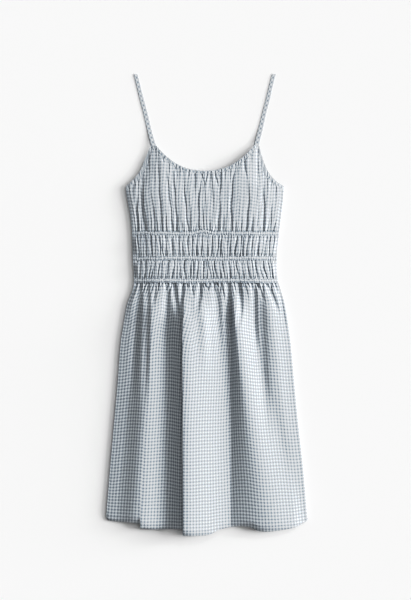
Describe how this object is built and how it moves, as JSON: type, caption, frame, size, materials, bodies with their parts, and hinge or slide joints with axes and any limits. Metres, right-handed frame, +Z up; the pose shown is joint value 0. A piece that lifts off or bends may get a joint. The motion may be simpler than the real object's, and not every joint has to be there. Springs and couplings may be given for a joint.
{
  "type": "gingham dress",
  "caption": "Sleeveless gingham sun dress laid flat: two narrow straps, gathered bodice, elastic waist casings and a flared skirt with soft folds.",
  "frame": {"origin": "on the surface the dress lies on, under the middle of its overall outline", "axes": "+Y from the hem to the straps, +X across the dress to the right of the picture, +Z up out of the surface"},
  "size_m": [0.391, 0.894, 0.0309],
  "materials": {
    "cloth": "matte woven cotton gingham in white and grey-blue",
    "casing": "the same gingham, drawn up on elastic and stitched twice",
    "strap": "the same gingham, sewn as a narrow flat tube"
  },
  "bodies": {
    "root": {"skirt_front": "cloth", "skirt_back": "cloth", "waist_lower_front": "cloth", "waist_lower_back": "cloth", "waist_upper_front": "cloth", "waist_upper_back": "cloth", "bodice_front": "cloth", "bodice_back": "cloth", "casing_low_front": "casing", "casing_low_back": "casing", "casing_mid_front": "casing", "casing_mid_back": "casing", "casing_top_front": "casing", "casing_top_back": "casing", "neck_casing": "casing", "armhole_casing_left": "casing", "armhole_casing_right": "casing", "back_edge_casing": "casing", "strap_left": "strap", "strap_right": "strap"}
  },
  "joints": []
}
